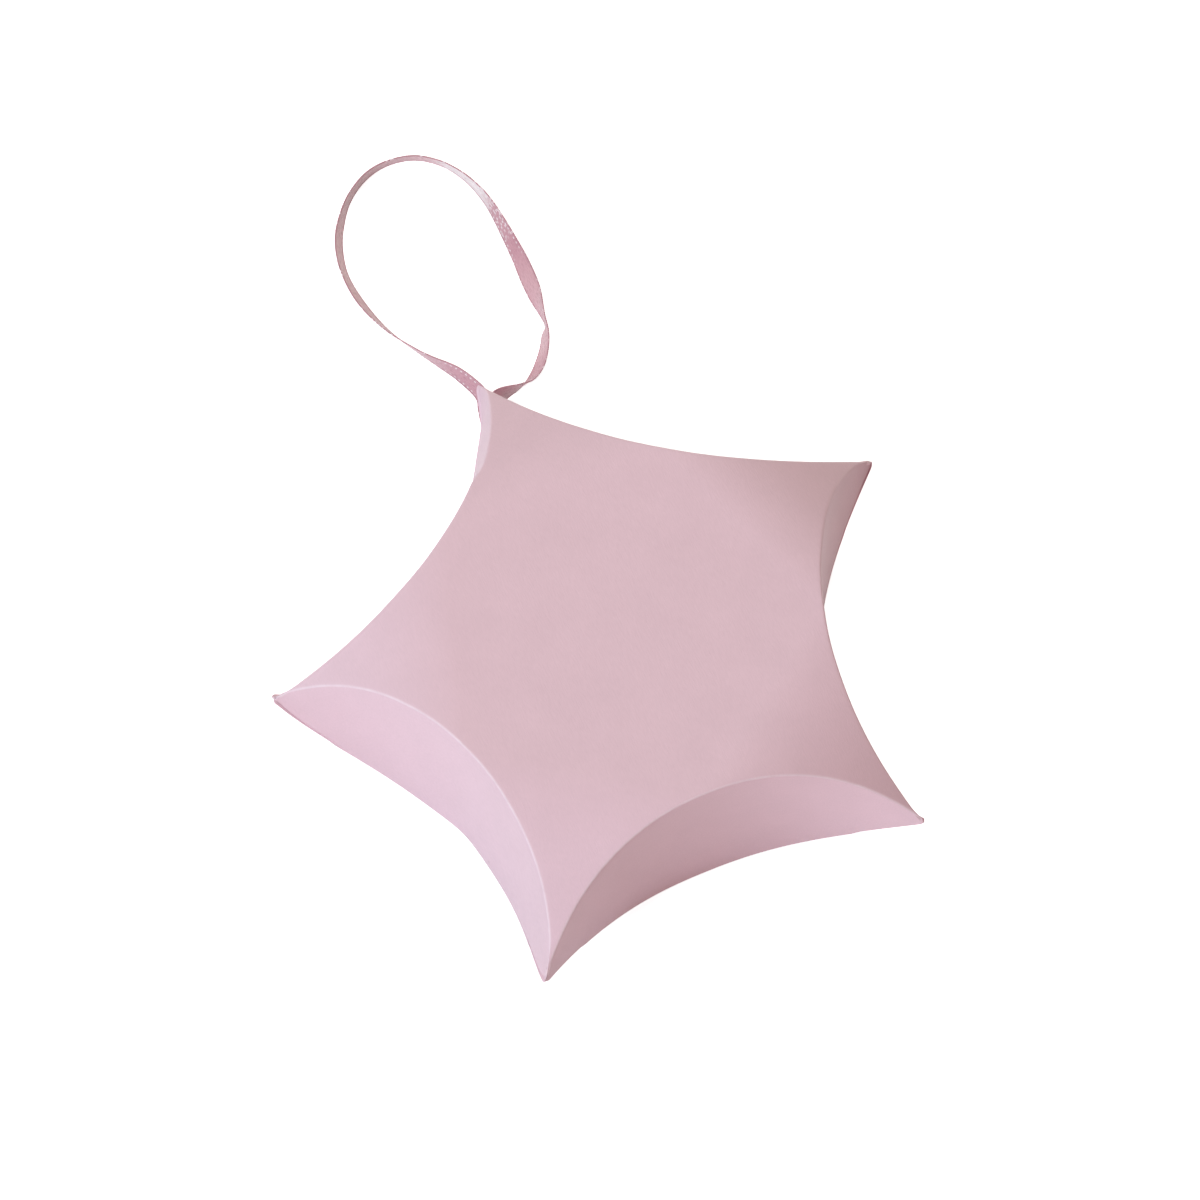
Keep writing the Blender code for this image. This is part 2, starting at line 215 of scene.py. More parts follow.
card_outside = card_material("card_outside", CARD_COLOUR, 0.5, FIBRE_DEPTH)
card_inside = card_material("card_inside", CARD_INSIDE_COLOUR, 0.3, FIBRE_DEPTH)
card_cut_edge = card_material("card_cut_edge", CARD_EDGE_COLOUR, 0.0, 2 * FIBRE_DEPTH)


# Star's outline and the curve of its arms
# Each side of the star is one curved crease, cut and scored by a die. u runs from the middle of
# the box through the middle of a side, v along the side, and a share from 0 there to 1 at a tip.
TIP_REACH = 0.0507
BOX_HEIGHT = 0.0274
TIP_HEIGHT = 0.0013
MIDDLE_U = 0.02977
SIDE_CURVE_POWER = 2.26
ARM_BEND_POWER = 1.9
HALF_STEP_DEGREES = 36
HALF_STEP = math.radians(HALF_STEP_DEGREES)
TIP_HALF_WIDTH = 0.0003
CORNER_U = TIP_REACH * math.cos(HALF_STEP) + TIP_HALF_WIDTH * math.sin(HALF_STEP)
CORNER_V = TIP_REACH * math.sin(HALF_STEP) - TIP_HALF_WIDTH * math.cos(HALF_STEP)
SIDE_SAG = CORNER_U - MIDDLE_U
FLAT_REACH = MIDDLE_U * math.cos(HALF_STEP)
TIP_DROP = (BOX_HEIGHT - TIP_HEIGHT) / 2
NOSE_START_SHARE = 0.98
NARROWEST = 0.94
SIDE_ANGLE = {"right": -18, "upper_right": 54, "upper_left": 126, "left": 198, "bottom": 270}
ARM_STRETCH = {18: -0.0006, 90: 0.0, 162: 0.0001, 234: 0.0008, 306: 0.0001}


def larger(first, second):
    return first.math("MAXIMUM", second) if isinstance(first, TreeNumber) else max(first, second)


def smaller(first, second):
    return first.math("MINIMUM", second) if isinstance(first, TreeNumber) else min(first, second)


def held_between(value, low, high):
    return smaller(larger(value, low), high)


def crease_place(share):
    """Plan place at a share of a side's crease, and how steeply the crease runs out there."""
    rise = share ** (SIDE_CURVE_POWER - 1)
    steepness = rise * (SIDE_SAG * SIDE_CURVE_POWER / CORNER_V)
    return rise * share * SIDE_SAG + MIDDLE_U, share * CORNER_V, steepness


def side_place(share, inset):
    """Plan place at a share of a side, inset square to the crease."""
    u, v, steepness = crease_place(share)
    length = (steepness * steepness + 1) ** 0.5
    return u - inset / length, v + inset * steepness / length


def reach_of(u, v):
    return u * math.cos(HALF_STEP) + v * math.sin(HALF_STEP)


def off_arm_line(u, v):
    return u * math.sin(HALF_STEP) - v * math.cos(HALF_STEP)


def rounded_place(share, inset):
    """The same, turned round the blunt tip at the end, and never past the arm's middle."""
    straight = smaller(share, NOSE_START_SHARE)
    turn = larger((share - NOSE_START_SHARE) / (1 - NOSE_START_SHARE), 0.0)
    room = off_arm_line(*crease_place(straight)[:2])
    held = smaller(inset, room * NARROWEST)
    start = side_place(straight, held)
    end_reach = TIP_REACH - held
    corner_off = larger(TIP_HALF_WIDTH - held, 0.0)
    back = (1 - turn) * (1 - turn)
    between = turn * (1 - turn) * 2
    reach = reach_of(*start) * back + end_reach * (1 - back)
    off = off_arm_line(*start) * back + corner_off * between
    u = reach * math.cos(HALF_STEP) + off * math.sin(HALF_STEP)
    return u, reach * math.sin(HALF_STEP) - off * math.cos(HALF_STEP)


def arm_share(u, v):
    """How far out a place is on the bent part of its arm, to 1 at the tip."""
    return larger((reach_of(u, v) - FLAT_REACH) / (TIP_REACH - FLAT_REACH), 0.0)


def arm_stretch(side, sign):
    return ARM_STRETCH[(SIDE_ANGLE[side] + HALF_STEP_DEGREES * sign) % 360]


def stretched(u, v, stretch):
    """The place once its arm is drawn out by its own small amount, as hand folding leaves it."""
    way = arm_share(u, v)
    moved = way * way * stretch
    return u + moved * math.cos(HALF_STEP), v + moved * math.sin(HALF_STEP)


def bend_of(u, v):
    """How far both panels have come towards each other at a place on an arm."""
    return arm_share(u, v) ** ARM_BEND_POWER * TIP_DROP


def slope_at(u, v):
    steepest = TIP_DROP * ARM_BEND_POWER / (TIP_REACH - FLAT_REACH)
    return steepest * arm_share(u, v) ** (ARM_BEND_POWER - 1)


# Front panel
# The five-armed front of the box, flat in the middle and bent along each arm by the curved
# creases round it. Its creases end up drawn in a little towards the tips, each by its own
# amount at the clockwise and the anticlockwise end, so the walls lean outwards there.
FOLD_REACH = 0.00035
LIP_WIDTH = 0.0003
DRAW_START_SHARE = 0.30
DRAW_END_SHARE = 0.85
CREASE_DRAW = {"right": (0.00065, 0.0010), "upper_right": (0.00045, 0.0004),
               "upper_left": (0.0, 0.00075), "left": (0.00065, 0.00095),
               "bottom": (0.0005, 0.00035)}
EARLY_START_SHARE = 0.31
EARLY_END_SHARE = 0.47
EARLY_DRAW = {("upper_left", -1): 0.00072}
SIDE_STEPS = 56
NOSE_STEPS = 8
NOSE_STEP_SHARE = NOSE_STEPS / (SIDE_STEPS + NOSE_STEPS)
CLOSE_PLACES = 0.000002
SHARP_ANGLE = math.radians(35)


def step_share(step):
    """Share of a side at each step from 0 to 1, with the steps closer round the tip."""
    along = smaller(step / (1 - NOSE_STEP_SHARE), 1.0) * NOSE_START_SHARE
    round_tip = larger((step - (1 - NOSE_STEP_SHARE)) / NOSE_STEP_SHARE, 0.0)
    return along + round_tip * (1 - NOSE_START_SHARE)


def drawn_part(share, start=DRAW_START_SHARE, end=DRAW_END_SHARE):
    """How much of the draw a place at a share of a side has, rising smoothly."""
    way = held_between((share - start) / (end - start), 0.0, 1.0)
    return way * way * (3 - 2 * way)


def turned(side, sign, u, v, z):
    angle = math.radians(SIDE_ANGLE[side])
    u, v = stretched(u, v, arm_stretch(side, sign))
    v *= sign
    return Vector((u * math.cos(angle) - v * math.sin(angle),
                   u * math.sin(angle) + v * math.cos(angle), z))


def put(name, data):
    """An object in the scene with this mesh, light or camera."""
    made = bpy.data.objects.new(name, data)
    bpy.context.scene.collection.objects.link(made)
    return made


def object_from(shape, name, *materials):
    """An object with the mesh of a finished shape."""
    mesh = bpy.data.meshes.new(name)
    shape.to_mesh(mesh)
    shape.free()
    for material in materials:
        mesh.materials.append(material)
    return put(name, mesh)


def star_sheet(name, is_front, shares, inset_at):
    """A closed sheet of card over the whole star, in rows that cross each arm."""
    last = len(shares) - 1
    shape = bmesh.new()
    corner = {}
    for side in SIDE_ANGLE:
        for sign in (-1, 1):
            for row, share in enumerate(shares):
                if row == 0 and sign == 1:
                    corner[side, 1, 0] = corner[side, -1, 0]
                    continue
                u, v = rounded_place(share, inset_at(side, sign, share))
                slope = slope_at(u, v)
                length = math.hypot(1, slope)
                shift = CARD_THICKNESS * slope / length
                z = bend_of(u, v)
                inner_z = z + CARD_THICKNESS / length
                if is_front:
                    z = BOX_HEIGHT - z
                    inner_z = BOX_HEIGHT - inner_z
                outer = shape.verts.new(turned(side, sign, u, v, z))
                inner = shape.verts.new(turned(side, sign, u - shift * math.cos(HALF_STEP),
                                               v - shift * math.sin(HALF_STEP), inner_z))
                corner[side, sign, row] = (outer, inner)
    sides = list(SIDE_ANGLE)
    for layer in (0, 1):
        shape.faces.new([corner[side, 1, 0][layer] for side in sides])
    for number, side in enumerate(sides):
        following = sides[(number + 1) % len(sides)]
        for row in range(last):
            near_a, far_a = corner[side, 1, row], corner[side, 1, row + 1]
            near_b, far_b = corner[following, -1, row], corner[following, -1, row + 1]
            for layer in (0, 1):
                shape.faces.new([near_a[layer], far_a[layer], far_b[layer], near_b[layer]])
            for near, far in ((near_a, far_a), (near_b, far_b)):
                shape.faces.new([near[0], far[0], far[1], near[1]]).material_index = 1
        end_a, end_b = corner[side, 1, last], corner[following, -1, last]
        shape.faces.new([end_a[0], end_b[0], end_b[1], end_a[1]]).material_index = 1
    bmesh.ops.remove_doubles(shape, verts=shape.verts, dist=CLOSE_PLACES)
    bmesh.ops.recalc_face_normals(shape, faces=shape.faces)
    sheet = object_from(shape, name, card_outside, card_cut_edge)
    sheet.data.shade_smooth()
    sheet.data.set_sharp_from_angle(angle=SHARP_ANGLE)
    return sheet


def fold_inset(side, sign, share):
    draw = CREASE_DRAW[side][sign > 0] * drawn_part(share)
    early = drawn_part(share, EARLY_START_SHARE, EARLY_END_SHARE)
    return FOLD_REACH + LIP_WIDTH + draw + EARLY_DRAW.get((side, sign), 0.0) * early


even_shares = [step_share(step / (SIDE_STEPS + NOSE_STEPS))
               for step in range(SIDE_STEPS + NOSE_STEPS + 1)]
front = star_sheet("front_card", True, even_shares, fold_inset)
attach(front, "box")
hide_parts("front_panel")


# Back panel
# The same star behind, with a punched hole near the upper point for the ribbon. It steps in
# where an inner flap folds up from it, and its cut edge nearly reaches the outline by the tips.
TAPE_THICKNESS = 0.0002
LAYER_GAP = 0.0003
INNER_INSET = CARD_THICKNESS + LAYER_GAP
GLUED_INSET = INNER_INSET + TAPE_THICKNESS + LAYER_GAP
INNER_FLAP_END_SHARE = 0.72
SHOULDER_SHARE = 0.008
BACK_TIP_INSET = 0.0005
RIBBON_HOLE_REACH = 0.039
RIBBON_HOLE_RADIUS = 0.0021


def back_inset(side, sign, share):
    if side == "upper_right":
        return FOLD_REACH + LIP_WIDTH
    if share > INNER_FLAP_END_SHARE + SHOULDER_SHARE / 2:
        return BACK_TIP_INSET
    return (INNER_INSET if side == "left" else GLUED_INSET) + FOLD_REACH + LIP_WIDTH


def hole_frame():
    """Place of the ribbon's hole on the outer face, with Z square into the box."""
    spot = RIBBON_HOLE_REACH * math.cos(HALF_STEP), RIBBON_HOLE_REACH * math.sin(HALF_STEP)
    inward = Vector((0, -slope_at(*spot), 1)).normalized()
    return (Matrix.Translation((0, RIBBON_HOLE_REACH, bend_of(*spot)))
            @ inward.to_track_quat("Z", "Y").to_matrix().to_4x4())


def plain_mesh(maker):
    """Leaves an object with what its modifiers made, as a mesh of its own."""
    bpy.context.view_layer.update()
    graph = bpy.context.evaluated_depsgraph_get()
    mesh = bpy.data.meshes.new_from_object(maker.evaluated_get(graph),
                                           preserve_all_data_layers=True, depsgraph=graph)
    maker.modifiers.clear()
    maker.data = mesh
    mesh.name = maker.name
    return mesh


def punch_hole(sheet):
    shape = bmesh.new()
    bmesh.ops.create_cone(shape, cap_ends=True, segments=48, radius1=RIBBON_HOLE_RADIUS,
                          radius2=RIBBON_HOLE_RADIUS, depth=RIBBON_HOLE_RADIUS,
                          matrix=hole_frame())
    for face in shape.faces:
        face.material_index = 1
    punch = object_from(shape, "hole_punch", card_outside, card_cut_edge)
    cut = sheet.modifiers.new("hole", "BOOLEAN")
    cut.operation = "DIFFERENCE"
    cut.object = punch
    plain_mesh(sheet)
    bpy.data.objects.remove(punch, do_unlink=True)


shoulder_shares = sorted(
    [share for share in even_shares if abs(share - INNER_FLAP_END_SHARE) > 2 * SHOULDER_SHARE]
    + [INNER_FLAP_END_SHARE, INNER_FLAP_END_SHARE + SHOULDER_SHARE])
back = star_sheet("back_card", False, shoulder_shares, back_inset)
punch_hole(back)
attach(back, "box")
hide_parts("back_panel")


# Walls along the sides
# Strips of the same card that stand along the sides: each is folded from a panel over a creased,
# rounded edge, and ends in a cut edge. One rule shapes them all, so one node tree makes them.
FOLD_ROWS = 4
WALL_ROWS = 10
END_CUT_POWER = 6.0
TIP_LIFT_SHARE = 0.03
LEAST_SPRING_SHARE = 0.1
CLOSE_POINTS = 0.000001
WALL_SIZES = {
    "Side Angle": 0.0, "End Share": 1.0, "Inset": 0.0, "Thickness": CARD_THICKNESS,
    "Top Fold": FOLD_REACH, "Top Lip": LIP_WIDTH, "Top Level": 1.0, "Top End Cut": 0.0,
    "Bottom Fold": 0.0, "Bottom Lip": 0.0, "Bottom Level": 0.0, "Level Margin": 0.0,
    "Bottom Lift": 0.0, "Bottom Tip Lift": 0.0, "Bottom Spring": 0.0,
    "Middle Spring": 0.00135, "Spring Rise": 0.00095, "Rise Share": 0.2, "Spring Power": 6.0,
    # Crease strength: how much paler the fold is painted, for wear and a painted highlight.
    "Tip Spring": 0.1, "Crease Wear And Highlight": 1.0,
    **{end + name: 0.0 for end in ("Clockwise ", "Anticlockwise ")
       for name in ("Draw", "Early Draw", "Stretch")},
}
BACK_FOLD = {"Bottom Fold": FOLD_REACH, "Bottom Lip": LIP_WIDTH}
FREE_EDGE = {"Bottom Lift": 0.0004, "Bottom Tip Lift": 0.00074}
# Per side, the crease strength follows how brightly its fold catches the light: painted highlight
# with some wear.
OUTER_SHAPE = {
    "right": {"Bottom Spring": 0.2, "Crease Wear And Highlight": 0.15},
    "upper_left": {"Bottom Spring": 1.0, "Middle Spring": 0.0002, "Spring Rise": 0.0062,
                   "Rise Share": 0.45, "Spring Power": 2.5, "Tip Spring": -0.25,
                   "Crease Wear And Highlight": 0.2},
    "bottom": {"Crease Wear And Highlight": 0.8},
}


def curved_wall_tree():
    tree, given, made = start_group(
        "Geometry", "curved_wall",
        {**dict.fromkeys(WALL_SIZES, "Float"), "Face": "Material", "Cut Edge": "Material"},
        {"Geometry": "Geometry"})
    size = {name: TreeNumber(tree, given.outputs[name]) for name in WALL_SIZES}

    rows = 2 * (FOLD_ROWS + 1) + WALL_ROWS
    grid = add_node(tree, "GeometryNodeMeshGrid",
                    {"Size X": 2.0, "Size Y": 1.0, "Vertices Y": rows + 1,
                     "Vertices X": 2 * (SIDE_STEPS + NOSE_STEPS) + 1})
    place = tree.nodes.new("GeometryNodeInputPosition")
    parts = add_node(tree, "ShaderNodeSeparateXYZ", {"Vector": place.outputs[0]})
    across = TreeNumber(tree, parts.outputs["X"])
    down = (TreeNumber(tree, parts.outputs["Y"]) * -1 + 0.5) * rows
    share = step_share(across.math("ABSOLUTE")) * size["End Share"]

    # The wall's top and bottom lines, and how far each row has come over, down and under
    anticlockwise = across.math("GREATER_THAN", 0.0)

    def at_this_end(name):
        first, second = size["Clockwise " + name], size["Anticlockwise " + name]
        return first + (second - first) * anticlockwise

    early = drawn_part(share, EARLY_START_SHARE, EARLY_END_SHARE)
    top_inset = (size["Inset"] + at_this_end("Draw") * drawn_part(share)
                 + at_this_end("Early Draw") * early)
    top_u, top_v = rounded_place(share, top_inset)
    bottom_u, bottom_v = rounded_place(share, size["Inset"])
    low = bend_of(bottom_u, bottom_v) + size["Level Margin"]
    room = bend_of(top_u, top_v) * -1 + BOX_HEIGHT - size["Level Margin"] - low
    end_cut = 1 - (share / size["End Share"]) ** END_CUT_POWER * size["Top End Cut"]
    top = low + room * size["Top Level"] * end_cut
    tip_part = held_between((share - INNER_FLAP_END_SHARE) / TIP_LIFT_SHARE, 0.0, 1.0)
    lift = size["Bottom Lift"] + (size["Bottom Tip Lift"] - size["Bottom Lift"]) * tip_part
    bottom = low + room * size["Bottom Level"] + lift
    lip_way = held_between(down, 0.0, 1.0)
    fold_way = held_between((down - 1) / FOLD_ROWS, 0.0, 1.0)
    wall_way = held_between((down - 1 - FOLD_ROWS) / WALL_ROWS, 0.0, 1.0)
    under_way = held_between((down - 1 - FOLD_ROWS - WALL_ROWS) / FOLD_ROWS, 0.0, 1.0)
    last_way = held_between(down - (rows - 1), 0.0, 1.0)

    top_start = rounded_place(share, top_inset + size["Top Fold"])
    top_lip = rounded_place(share, top_inset + size["Top Fold"] + size["Top Lip"])
    under_end = rounded_place(share, size["Inset"] + size["Bottom Fold"])
    under_lip = rounded_place(share, size["Inset"] + size["Bottom Fold"] + size["Bottom Lip"])
    height = top - bottom
    top_share = size["Top Fold"] / height
    bottom_share = 1 - size["Bottom Fold"] / height

    # The free edge's spring outwards: it rises from the side's middle, and falls to the tip
    share_squared = share * share
    risen = share_squared / (share_squared + size["Rise Share"] ** 2) * size["Spring Rise"]
    fallen = 1 - share ** size["Spring Power"] * (1 - size["Tip Spring"])
    spring = ((risen + size["Middle Spring"]) * larger(fallen, LEAST_SPRING_SHARE)
              * size["Bottom Spring"])

    def round_fold(start, corner, end, way):
        return (corner - start) * (way * (1 - way) * 2) + (end - start) * way * way

    def whole_way(lip, start, wall_top, wall_bottom, end, last):
        """From the lip on the front, over its fold, down the wall and under to the back's lip."""
        fall = wall_bottom - wall_top
        wall_start = wall_top + fall * top_share
        wall_end = wall_top + fall * bottom_share
        return (lip + (start - lip) * lip_way + round_fold(start, wall_top, wall_start, fold_way)
                + (wall_end - wall_start) * wall_way
                + round_fold(wall_end, wall_bottom, end, under_way) + (last - end) * last_way)

    u = whole_way(top_lip[0], top_start[0], top_u, bottom_u + spring, under_end[0], under_lip[0])
    v = whole_way(top_lip[1], top_start[1], top_v, bottom_v, under_end[1], under_lip[1])
    has_top = size["Top Fold"].math("GREATER_THAN", 0.0)
    has_bottom = size["Bottom Fold"].math("GREATER_THAN", 0.0)

    def front_height(spot):
        """The front panel's height there, or the cut edge's own where nothing is folded."""
        return top + (BOX_HEIGHT - bend_of(*spot) - top) * has_top

    def back_height(spot):
        return bottom + (bend_of(*spot) - bottom) * has_bottom

    z = whole_way(front_height(top_lip), front_height(top_start), top, bottom,
                  back_height(under_end), back_height(under_lip))

    u, v = stretched(u, v, at_this_end("Stretch"))
    v = v * across.math("SIGN")
    cosine = size["Side Angle"].math("COSINE")
    sine = size["Side Angle"].math("SINE")
    moved = add_node(tree, "ShaderNodeCombineXYZ",
                     {"X": u * cosine - v * sine, "Y": u * sine + v * cosine, "Z": z})
    # Paler along each rounded fold: folding wear and a painted highlight where the fold meets the
    # light.
    on_fold = fold_way * (1 - fold_way) * has_top + under_way * (1 - under_way) * has_bottom
    wear = (on_fold * 4) ** 2 * size["Crease Wear And Highlight"]

    marked = add_node(tree, "GeometryNodeStoreNamedAttribute",
                      {"Geometry": grid.outputs["Mesh"], "Name": "fold_wear_and_highlight", "Value": wear},
                      data_type="FLOAT", domain="POINT")
    placed = add_node(tree, "GeometryNodeSetPosition",
                      {"Geometry": marked.outputs[0], "Position": moved.outputs[0]})
    joined = add_node(tree, "GeometryNodeMergeByDistance",
                      {"Geometry": placed.outputs[0], "Distance": CLOSE_POINTS})
    thick = add_node(tree, "GeometryNodeExtrudeMesh",
                     {"Mesh": joined.outputs[0], "Individual": False,
                      "Offset Scale": size["Thickness"] * -1}, mode="FACES")
    inner = add_node(tree, "GeometryNodeFlipFaces", {"Mesh": thick.outputs["Mesh"]})
    both = add_node(tree, "GeometryNodeJoinGeometry", {0: inner.outputs[0]})
    feed(both, {0: joined.outputs[0]})
    closed = add_node(tree, "GeometryNodeMergeByDistance",
                      {"Geometry": both.outputs[0], "Distance": CLOSE_POINTS})
    real = add_node(tree, "GeometryNodeRealizeInstances", {"Geometry": closed.outputs[0]})
    faced = add_node(tree, "GeometryNodeSetMaterial",
                     {"Geometry": real.outputs[0], "Material": given.outputs["Face"]})
    edged = add_node(tree, "GeometryNodeSetMaterial",
                     {"Geometry": faced.outputs[0], "Selection": thick.outputs["Side"],
                      "Material": given.outputs["Cut Edge"]})
    feed(made, {0: edged.outputs[0]})
    return tree


curved_wall = curved_wall_tree()


def run_tree(maker, tree, values):
    """Gives an object a node tree with these inputs, and leaves it with the mesh they make."""
    modifier = maker.modifiers.new(tree.name, "NODES")
    modifier.node_group = tree
    for item in tree.interface.items_tree:
        if item.in_out == "INPUT" and item.name in values:
            modifier[item.identifier] = values[item.name]
    return plain_mesh(maker)


def wall(name, node, side, face, edge, sizes):
    """One wall as a plain mesh that stands for its CAD node."""
    strip = put(name, bpy.data.meshes.new(name))
    values = {**WALL_SIZES, "Side Angle": math.radians(SIDE_ANGLE[side]), "Face": face,
              "Cut Edge": edge}
    for end, sign in (("Clockwise", -1), ("Anticlockwise", 1)):
        values[end + " Stretch"] = arm_stretch(side, sign)
        if "Top Fold" not in sizes:
            values[end + " Draw"] = CREASE_DRAW[side][sign > 0]
            values[end + " Early Draw"] = EARLY_DRAW.get((side, sign), 0.0)
    mesh = run_tree(strip, curved_wall, {**values, **sizes})
    mesh.shade_smooth()
    mesh.set_sharp_from_angle(angle=SHARP_ANGLE)
    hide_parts(node)
    return strip


spine = wall("spine_card", "spine_wall", "upper_right", card_outside,
             card_cut_edge, BACK_FOLD)
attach(spine, "box")
for side, shape in OUTER_SHAPE.items():
    flap = wall("outer_card_" + side, "outer_flap_" + side, side, card_outside,
                card_cut_edge, {**FREE_EDGE, **shape})
    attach(flap, "box")


# Inner flaps and their tape
# Flaps folded up from the back panel inside the outer ones, cut away towards their ends, and
# the strips of clear double-sided tape that hold each pair of flaps together.
CUT_TOP = {"Top Fold": 0.0, "Top Lip": 0.0}
INNER_SHAPE = {**CUT_TOP, **BACK_FOLD, "End Share": INNER_FLAP_END_SHARE, "Top Level": 0.78,
               "Top End Cut": 0.60}
TAPE_SHAPE = {**CUT_TOP, "End Share": 0.60, "Inset": INNER_INSET, "Thickness": TAPE_THICKNESS,
              "Top Level": 0.40, "Bottom Level": 0.16, "Level Margin": 0.00074}
TAPE_COLOURS = ((0.84, 0.80, 0.70, 1), (0.93, 0.91, 0.84, 1))
TAPE_MARK_SCALE = (200.0, 200.0, 4000.0)


def tape_material():
    """Clear tape that has yellowed a little, with fine rolling marks along it."""
    made, tree, shader = start_material("clear_tape")
    place = add_node(tree, "ShaderNodeTexCoord").outputs["Object"]
    marks = noise(tree, place, TAPE_MARK_SCALE)
    feed(shader, {"Base Color": mixed(tree, marks, *TAPE_COLOURS),
                  "Roughness": marks.mapped(0.0, 1.0, 0.18, 0.34)})
    return made


clear_tape = tape_material()
for side in OUTER_SHAPE:
    flap = wall("inner_card_" + side, "inner_flap_" + side, side, card_inside,
                card_cut_edge, {**INNER_SHAPE, "Inset": GLUED_INSET})
    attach(flap, "box")
    tape = wall("tape_" + side, "tape_strip_" + side, side, clear_tape, clear_tape,
                TAPE_SHAPE)
    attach(tape, "box")


# Closure
# The side that opens: an outer flap that nothing holds, so its free edge springs out, and the
# tuck flap behind it.
UPWARD = Vector((0, 0, 1))
# Its crease is painted paler, as wear and a painted highlight.
closure = wall("closure_card", "closure_flap", "left", card_outside,
               card_cut_edge, {**FREE_EDGE, "Bottom Spring": 1.0, "Crease Wear And Highlight": 0.7})
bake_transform(closure)
tuck = wall("tuck_card", "tuck_flap", "left", card_inside, card_cut_edge,
            {**INNER_SHAPE, "Inset": INNER_INSET})
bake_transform(tuck)


# Ribbon
# One length of narrow satin ribbon, doubled: both strands leave the hole in the back and the
# loop lies on the table. It is woven, with a fine beaded selvedge along both edges.
RIBBON_WIDTH = 0.0032
RIBBON_THICKNESS = 0.00014
RIBBON_STEP = 0.0005
STEPS_ACROSS = 12
EDGE_THINNING = 0.7
EDGE_THINNING_POWER = 8
BAND_SHARP_ANGLE = math.radians(60)
SELVEDGE_RADIUS = 0.00014
MILLIMETRES = 1000
RIBBON_ROUTE = (
    (0.0000, 0.0382, 0.0046, -90),
    (0.0000, 0.0392, 0.0029, -90),
    (0.0002, 0.0406, 0.0015, -90),
    (0.0006, 0.0430, 0.0008, -90),
    (0.0013, 0.0500, 0.0007, -76),
    (0.0017, 0.0532, 0.0009, -55),
    (0.0018, 0.0560, 0.0015, -25),
    (0.0001, 0.0602, 0.0016, -13),
    (-0.0024, 0.0639, 0.0016, 8),
    (-0.0042, 0.0668, 0.0016, 18),
    (-0.0068, 0.0718, 0.0015, 26),
    (-0.0084, 0.0776, 0.0015, 32),
    (-0.0087, 0.0834, 0.0015, 24),
    (-0.0075, 0.0883, 0.0015, 20),
    (-0.0054, 0.0920, 0.0015, 11),
    (-0.0027, 0.0951, 0.0016, 1),
    (0.0009, 0.0974, 0.0016, -6),
    (0.0048, 0.0982, 0.0016, -14),
    (0.0089, 0.0974, 0.0016, -16),
    (0.0121, 0.0950, 0.0016, -14),
    (0.0141, 0.0921, 0.0016, -8),
    (0.0154, 0.0889, 0.0016, 0),
    (0.0163, 0.0843, 0.0016, 12),
    (0.0166, 0.0760, 0.0013, 32),
    (0.0165, 0.0721, 0.0012, 42),
    (0.0163, 0.0685, 0.0013, 36),
    (0.0158, 0.0635, 0.0017, 0),
    (0.0150, 0.0615, 0.0016, 18),
    (0.0138, 0.0592, 0.0014, 29),
    (0.0118, 0.0566, 0.0013, 38),
    (0.0096, 0.0549, 0.0014, 32),
    (0.0078, 0.0544, 0.0017, 14),
    (0.0061, 0.0541, 0.0021, 0),
    (0.0046, 0.0537, 0.0026, -18),
    (0.0033, 0.0529, 0.0031, -48),
    (0.0022, 0.0513, 0.0034, -71),
    (0.0010, 0.0477, 0.0033, -86),
    (0.0003, 0.0428, 0.0030, -90),
    (0.0000, 0.0399, 0.0037, -90),
    (0.0000, 0.0390, 0.0051, -90),
)


def curve_value(before, start, end, after, share):
    """Value of the smooth curve through four neighbours, between start and end."""
    return 0.5 * (2 * start + (end - before) * share
                  + (2 * before - 5 * start + 4 * end - after) * share ** 2
                  + (3 * start - before - 3 * end + after) * share ** 3)


def way_at(line, number):
    """The way along a line at one of its places."""
    after = line[min(number + 1, len(line) - 1)]
    return (after - line[max(number - 1, 0)]).normalized()


def ribbon_stations():
    """Steps along the route: the band's middle, its way and the direction of its width."""
    last = len(RIBBON_ROUTE) - 1
    values = []
    for number in range(last):
        near = [RIBBON_ROUTE[max(0, min(number + offset, last))] for offset in (-1, 0, 1, 2)]
        steps = max(1, round(math.dist(near[1][:3], near[2][:3]) / RIBBON_STEP))
        for step in range(steps):
            values.append([curve_value(*column, step / steps) for column in zip(*near)])
    values.append(RIBBON_ROUTE[last])
    line = [Vector(value[:3]) for value in values]
    stations = []
    for number, (x, y, z, lean_degrees) in enumerate(values):
        way = way_at(line, number)
        left = UPWARD.cross(way).normalized()
        lean = math.radians(lean_degrees)
        width = way.cross(left) * math.cos(lean) + left * math.sin(lean)
        half_rise = (RIBBON_WIDTH * abs(width.z) + 2 * SELVEDGE_RADIUS) / 2
        stations.append((Vector((x, y, max(z, half_rise))), way, width))
    return stations


def closed_tube(name, rings, weave_place, material):
    """A tube through rings of places, closed at both ends, with the weave's place as its UV."""
    shape = bmesh.new()
    weave = shape.loops.layers.uv.new("weave")
    rings = [[shape.verts.new(place) for place in ring] for ring in rings]
    around = len(rings[0])
    for row in range(len(rings) - 1):
        for step in range(around):
            corners = ((row, step), (row, step + 1), (row + 1, step + 1), (row + 1, step))
            face = shape.faces.new([rings[at][turn % around] for at, turn in corners])
            for loop, corner in zip(face.loops, corners):
                loop[weave].uv = weave_place(*corner)
    for ring in (rings[0], rings[-1]):
        shape.faces.new(ring)
    bmesh.ops.recalc_face_normals(shape, faces=shape.faces)
    tube = object_from(shape, name, material)
    tube.data.shade_smooth()
    return tube


SATIN_COLOUR = (0.78, 0.48, 0.54, 1)
SATIN_SHADE_COLOUR = (0.66, 0.37, 0.42, 1)
# Painted shade: the satin's deeper colour where the ribbon turns from the light or lies in shadow.
SATIN_PAINTED_SHADE_COLOUR = (0.61, 0.29, 0.36, 1)
